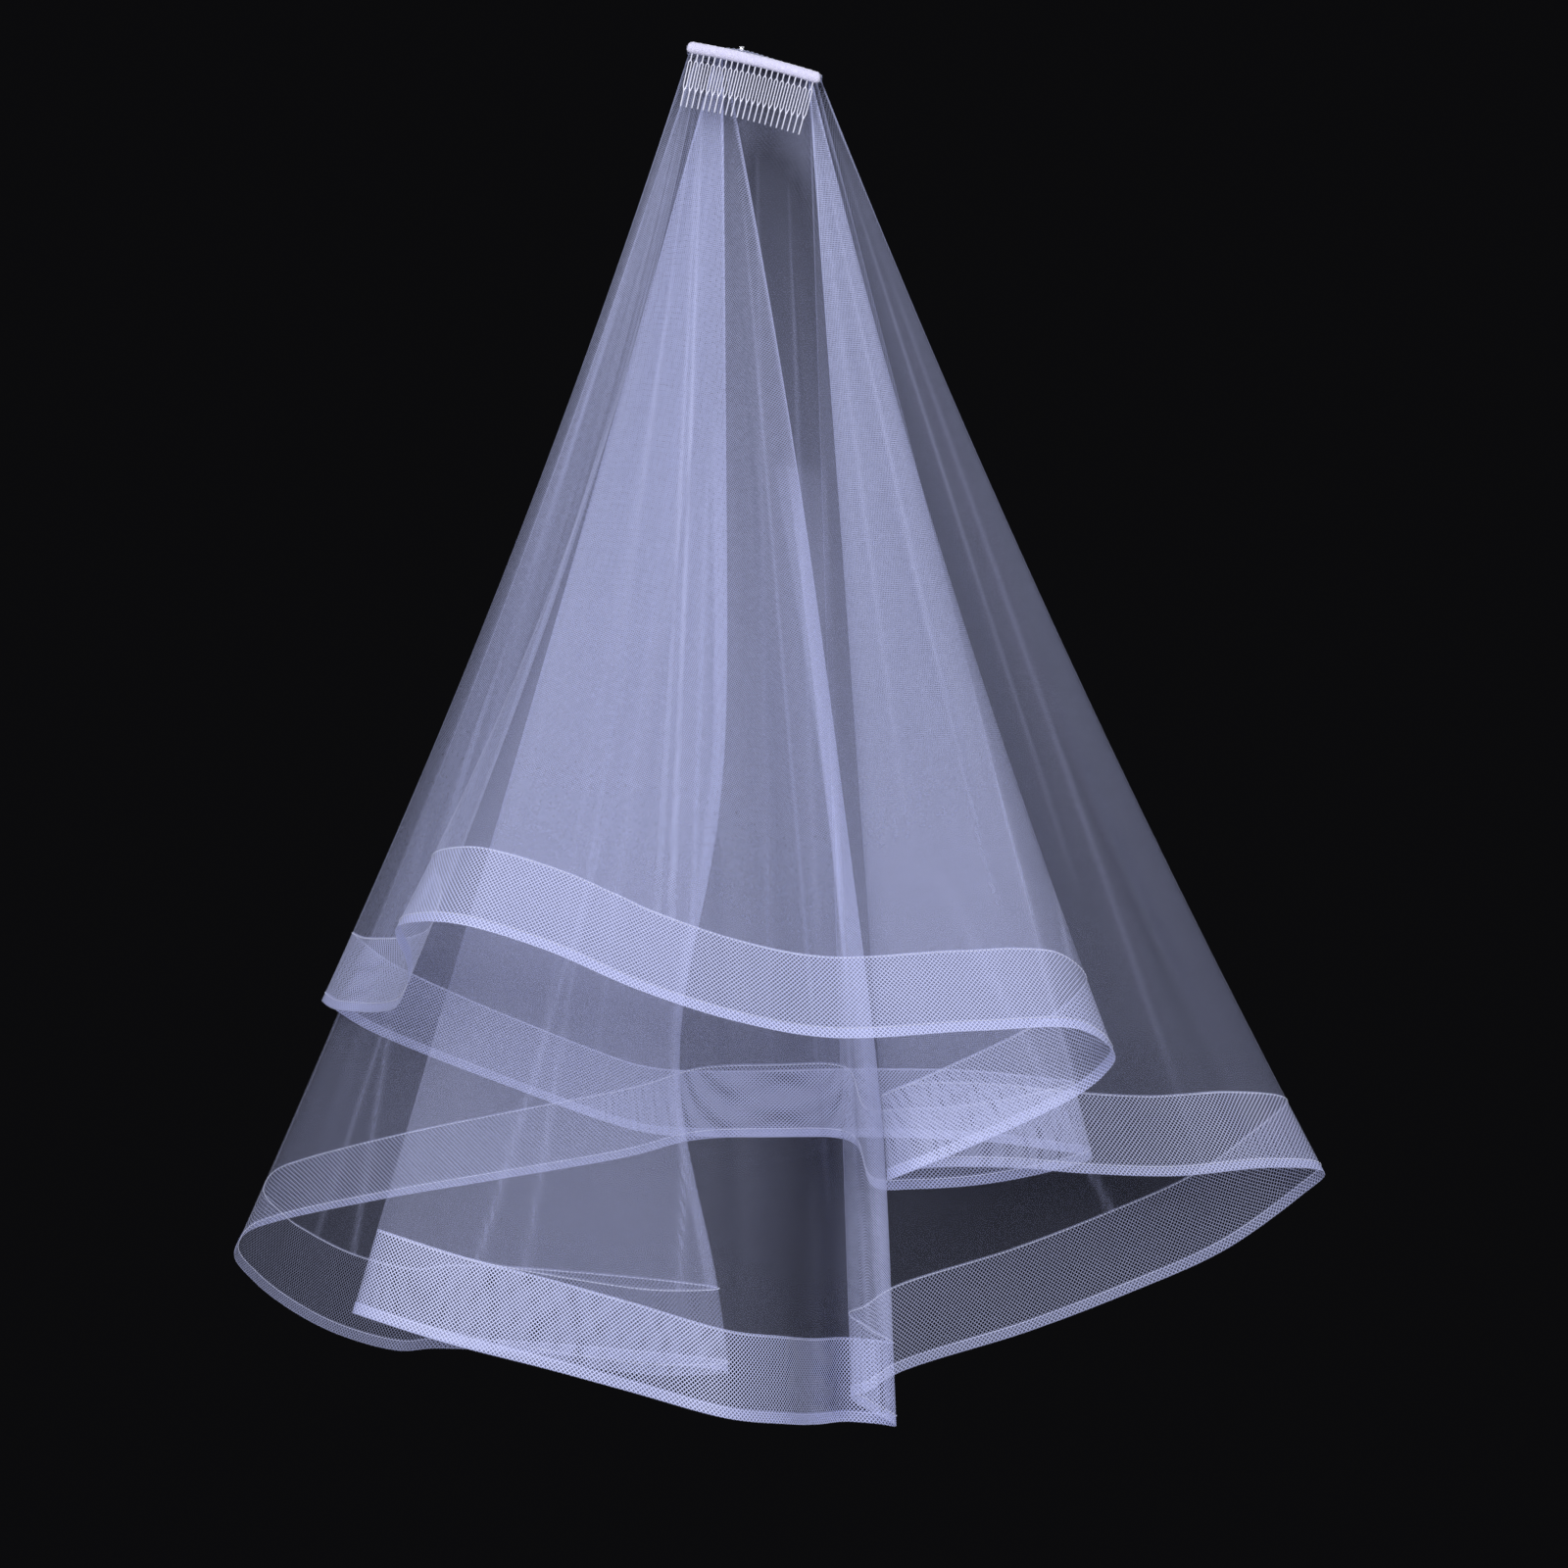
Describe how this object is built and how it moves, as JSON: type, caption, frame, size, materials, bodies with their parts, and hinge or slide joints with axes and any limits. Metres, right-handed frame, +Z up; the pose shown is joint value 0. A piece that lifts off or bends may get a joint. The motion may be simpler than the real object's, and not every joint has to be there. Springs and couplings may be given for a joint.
{
  "type": "bridal veil on a hanging pin",
  "caption": "Two-tier sheer tulle bridal veil with a horsehair braid hem, gathered behind a ribbon-wrapped wire hair comb that hangs from a ball-headed pin",
  "frame": {"origin": "free end of the pin that holds the comb, where the pin is held", "axes": "+Z up, +Y away from the front, back along the pin to where it is held, +X to the right seen from the front"},
  "size_m": [0.8032, 0.4326, 0.9806],
  "materials": {
    "tulle": "sheer soft net, slight sheen",
    "horsehair_braid": "open diagonal mesh, glossy yarn, doubled lower edge",
    "ribbon_wrap": "white ribbon wound round the bar, slightly fuzzy",
    "comb_wire": "thin bright silver wire",
    "pin_steel": "polished"
  },
  "bodies": {
    "root": {"Tulle_upper_tier": "tulle", "Tulle_lower_tier": "tulle", "Braid_upper_tier": "horsehair_braid", "Braid_lower_tier": "horsehair_braid", "Gathered_heading": "tulle", "Comb_bar": "ribbon_wrap", "Comb_tooth_01": "comb_wire", "Comb_tooth_02": "comb_wire", "Comb_tooth_03": "comb_wire", "Comb_tooth_04": "comb_wire", "Comb_tooth_05": "comb_wire", "Comb_tooth_06": "comb_wire", "Comb_tooth_07": "comb_wire", "Comb_tooth_08": "comb_wire", "Comb_tooth_09": "comb_wire", "Comb_tooth_10": "comb_wire", "Comb_tooth_11": "comb_wire", "Comb_tooth_12": "comb_wire", "Comb_tooth_13": "comb_wire", "Comb_tooth_14": "comb_wire", "Comb_tooth_15": "comb_wire", "Comb_tooth_16": "comb_wire", "Comb_tooth_17": "comb_wire", "Comb_tooth_18": "comb_wire", "Comb_tooth_19": "comb_wire", "Comb_tooth_20": "comb_wire", "Comb_tooth_21": "comb_wire", "Comb_tooth_22": "comb_wire", "Hanging_pin": "pin_steel"}
  },
  "joints": []
}
